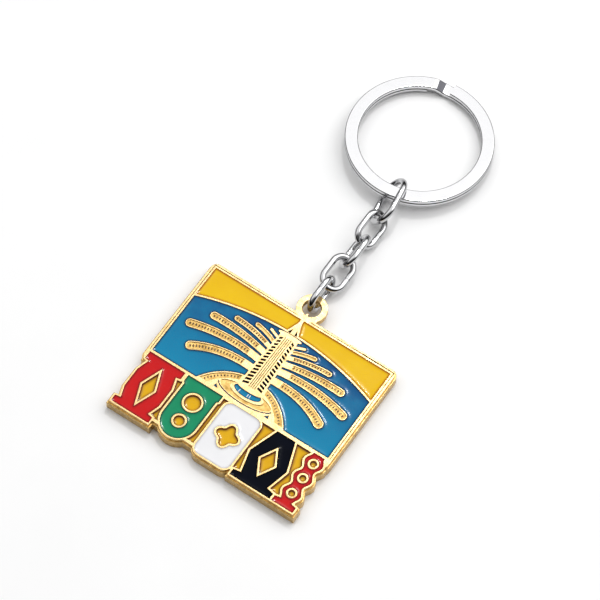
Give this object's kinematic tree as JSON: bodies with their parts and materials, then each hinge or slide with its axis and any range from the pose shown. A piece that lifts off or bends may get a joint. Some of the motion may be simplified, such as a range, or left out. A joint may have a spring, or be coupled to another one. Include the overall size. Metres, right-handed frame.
{
  "type": "enamelled souvenir keychain",
  "caption": "Flat cast pendant with a framed seascape and a row of coloured tiles in enamel, hung by a lug and an oval-link chain from a split ring.",
  "frame": {"origin": "centre of the picture window, on the flat back face of the pendant", "axes": "+Z out of the enamelled face, +Y from the pendant along the chain to the split ring, +X across the pendant to the right as the face is seen"},
  "size_m": [0.0452, 0.1008, 0.0063],
  "materials": {
    "gold_plating": "bright gold plate over a die-cast body, slightly grained on the sides",
    "yellow_enamel": "glossy soft enamel",
    "blue_enamel": "glossy soft enamel, a little lighter where it is thin",
    "navy_enamel": "glossy soft enamel",
    "red_enamel": "glossy soft enamel",
    "green_enamel": "glossy soft enamel",
    "white_enamel": "glossy soft enamel",
    "nickel_wire": "bright nickel plate",
    "nickel_band": "polished nickel-plated spring steel"
  },
  "bodies": {
    "pendant": {"pendant_plate": "gold_plating", "sky_enamel_left": "yellow_enamel", "sky_enamel_right": "yellow_enamel", "sea_enamel_left": "blue_enamel", "sea_enamel_right": "blue_enamel", "pool_enamel": "blue_enamel", "tower_enamel": "navy_enamel", "tile_1_enamel": "red_enamel", "tile_2_enamel": "green_enamel", "tile_3_enamel": "white_enamel", "tile_4_enamel": "navy_enamel", "tile_5_enamel": "red_enamel", "window_enamel": "yellow_enamel", "gap_enamel": "yellow_enamel"},
    "link_1": {"link_1": "nickel_wire"},
    "link_2": {"link_2": "nickel_wire"},
    "link_3": {"link_3": "nickel_wire"},
    "link_4": {"link_4": "nickel_wire"},
    "link_5": {"link_5": "nickel_wire"},
    "ring": {"split_ring": "nickel_band"}
  },
  "joints": [
    {"name": "lug_swing", "type": "hinge", "parent": "pendant", "child": "link_1", "pos_m": [-0.0002, 0.0143, 0.00301], "axis": [0, 0, 1], "range_deg": [-35, 30]},
    {"name": "link_2_swing", "type": "hinge", "parent": "link_1", "child": "link_2", "pos_m": [-0.0002, 0.02034, 0.00284], "axis": [0.9397, 0, -0.342], "range_deg": [-30, 35]},
    {"name": "link_3_swing", "type": "hinge", "parent": "link_2", "child": "link_3", "pos_m": [-0.0002, 0.02814, 0.00284], "axis": [1, 0, 0], "range_deg": [-40, 20]},
    {"name": "link_4_swing", "type": "hinge", "parent": "link_3", "child": "link_4", "pos_m": [-0.0002, 0.03418, 0.00267], "axis": [0.5299, 0, 0.848], "range_deg": [-40, 40]},
    {"name": "link_5_swing", "type": "hinge", "parent": "link_4", "child": "link_5", "pos_m": [-0.0002, 0.04022, 0.00291], "axis": [0.7071, 0, -0.7071], "range_deg": [-30, 30]},
    {"name": "ring_swing", "type": "hinge", "parent": "link_5", "child": "ring", "pos_m": [-0.00152, 0.04877, 0.00315], "axis": [0, 0, 1], "range_deg": [-15, 20]}
  ]
}
